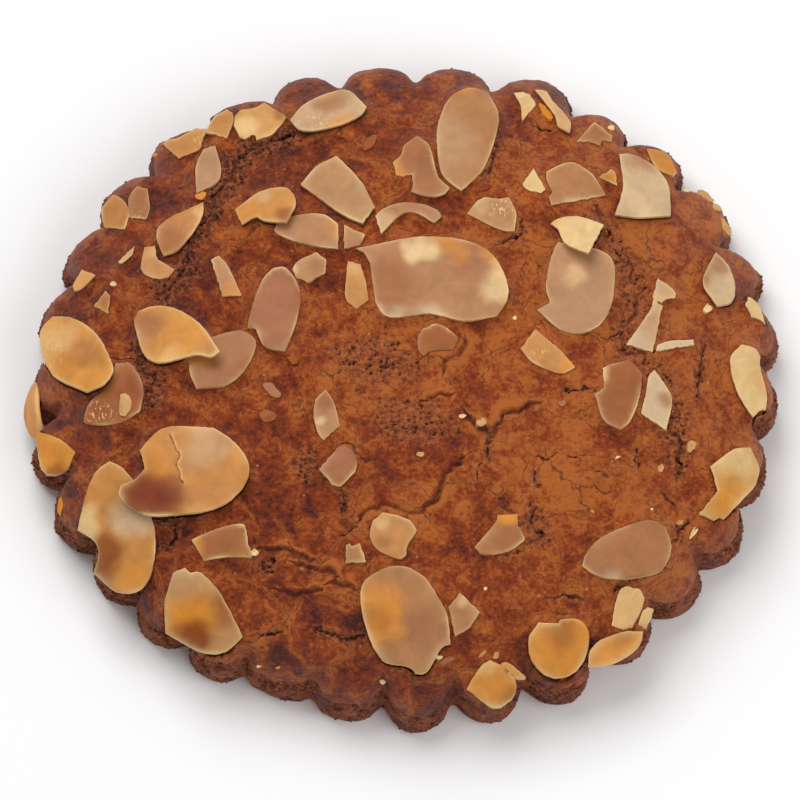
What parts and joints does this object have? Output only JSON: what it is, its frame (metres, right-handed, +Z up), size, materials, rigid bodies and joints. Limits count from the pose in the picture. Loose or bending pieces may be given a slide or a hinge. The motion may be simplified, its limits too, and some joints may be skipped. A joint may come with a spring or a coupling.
{
  "type": "filled spice cookie",
  "caption": "Domed oval spice cookie with a scalloped edge and a cracked, egg-washed brown crust, strewn with whole and broken flaked almonds.",
  "frame": {"origin": "middle of the flat underside, under the middle of the cookie's box", "axes": "+X along the longer axis of the oval, +Y along the shorter, +Z up through the dome"},
  "size_m": [0.1006, 0.0914, 0.0219],
  "materials": {
    "spice_crust": "baked brown dough with a thin egg wash, satin",
    "flaked_almond": "thin toasted almond slice, cream to golden, satin"
  },
  "bodies": {
    "root": {"crust": "spice_crust", "almond_slice_01": "flaked_almond", "almond_slice_02": "flaked_almond", "almond_slice_03": "flaked_almond", "almond_slice_04": "flaked_almond", "almond_slice_05": "flaked_almond", "almond_slice_06": "flaked_almond", "almond_slice_07": "flaked_almond", "almond_slice_08": "flaked_almond", "almond_slice_09": "flaked_almond", "almond_slice_10": "flaked_almond", "almond_slice_11": "flaked_almond", "almond_slice_12": "flaked_almond", "almond_slice_13": "flaked_almond", "almond_slice_14": "flaked_almond", "almond_slice_15": "flaked_almond", "almond_slice_16": "flaked_almond", "almond_slice_17": "flaked_almond", "almond_slice_18": "flaked_almond", "almond_slice_19": "flaked_almond", "almond_slice_20": "flaked_almond", "almond_slice_21": "flaked_almond", "almond_slice_22": "flaked_almond", "almond_slice_23": "flaked_almond", "almond_slice_24": "flaked_almond", "almond_slice_25": "flaked_almond", "almond_slice_26": "flaked_almond", "almond_slice_27": "flaked_almond", "almond_slice_28": "flaked_almond", "almond_slice_29": "flaked_almond"}
  },
  "joints": []
}
